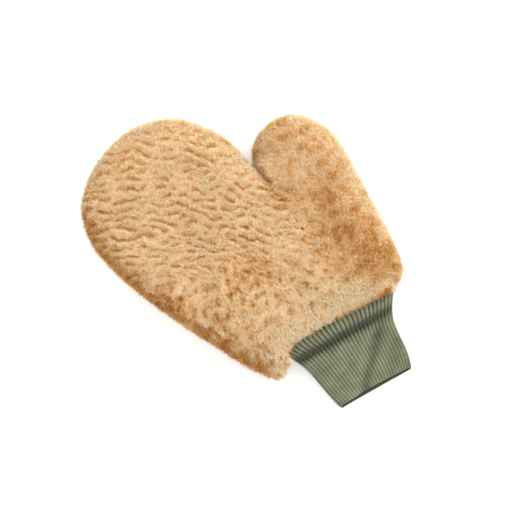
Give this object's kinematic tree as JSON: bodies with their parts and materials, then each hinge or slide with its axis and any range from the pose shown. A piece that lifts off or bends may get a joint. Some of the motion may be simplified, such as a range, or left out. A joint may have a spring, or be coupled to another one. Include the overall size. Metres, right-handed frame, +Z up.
{
  "type": "wash mitt",
  "caption": "Thumbed sheepskin wash mitt, wool outside, open inside for a hand, with a flattened double-layer rib-knit cuff; bends at knuckles, thumb and wrist.",
  "frame": {"origin": "middle of the footprint, on the surface that the mitt lies on", "axes": "+Y from the cuff towards the fingers, +X towards the thumb's side, +Z up, out of the palm"},
  "size_m": [0.238, 0.3088, 0.0552],
  "materials": {
    "sheepskin_wool": "dense short curly golden-tan wool, matte",
    "suede_hide": "soft tanned suede, matte",
    "rib_knit": "sage green rib knit, matte",
    "sewing_thread": "spun polyester overlock thread"
  },
  "bodies": {
    "hand": {"hand_palm_wool": "sheepskin_wool", "hand_back_wool": "sheepskin_wool", "hand_palm_hide": "suede_hide", "hand_back_hide": "suede_hide", "thumb_base_palm_wool": "sheepskin_wool", "thumb_base_back_wool": "sheepskin_wool", "thumb_base_palm_hide": "suede_hide", "thumb_base_back_hide": "suede_hide", "little_finger_side_seam_thread": "sewing_thread", "thumb_side_seam_thread": "sewing_thread", "palm_parting_seam_thread": "sewing_thread", "back_parting_seam_thread": "sewing_thread"},
    "fingers": {"finger_palm_wool": "sheepskin_wool", "finger_back_wool": "sheepskin_wool", "finger_palm_hide": "suede_hide", "finger_back_hide": "suede_hide", "finger_seam_thread": "sewing_thread"},
    "thumb": {"thumb_palm_wool": "sheepskin_wool", "thumb_back_wool": "sheepskin_wool", "thumb_palm_hide": "suede_hide", "thumb_back_hide": "suede_hide", "thumb_seam_thread": "sewing_thread"},
    "cuff": {"rib_cuff": "rib_knit", "cuff_attaching_thread": "sewing_thread", "cuff_side_seam_thread": "sewing_thread"}
  },
  "joints": [
    {"name": "finger_curl", "type": "hinge", "parent": "hand", "child": "fingers", "pos_m": [0.048, 0.0276, 0.027], "axis": [0.9703, 0.2419, 0], "range_deg": [0, 45]},
    {"name": "thumb_swing", "type": "hinge", "parent": "hand", "child": "thumb", "pos_m": [0.086, -0.0104, 0.027], "axis": [0, 0, -1], "range_deg": [0, 22]},
    {"name": "cuff_bend", "type": "hinge", "parent": "hand", "child": "cuff", "pos_m": [0.0365, -0.0844, 0.027], "axis": [-1, 0, 0], "range_deg": [-10, 35]}
  ]
}
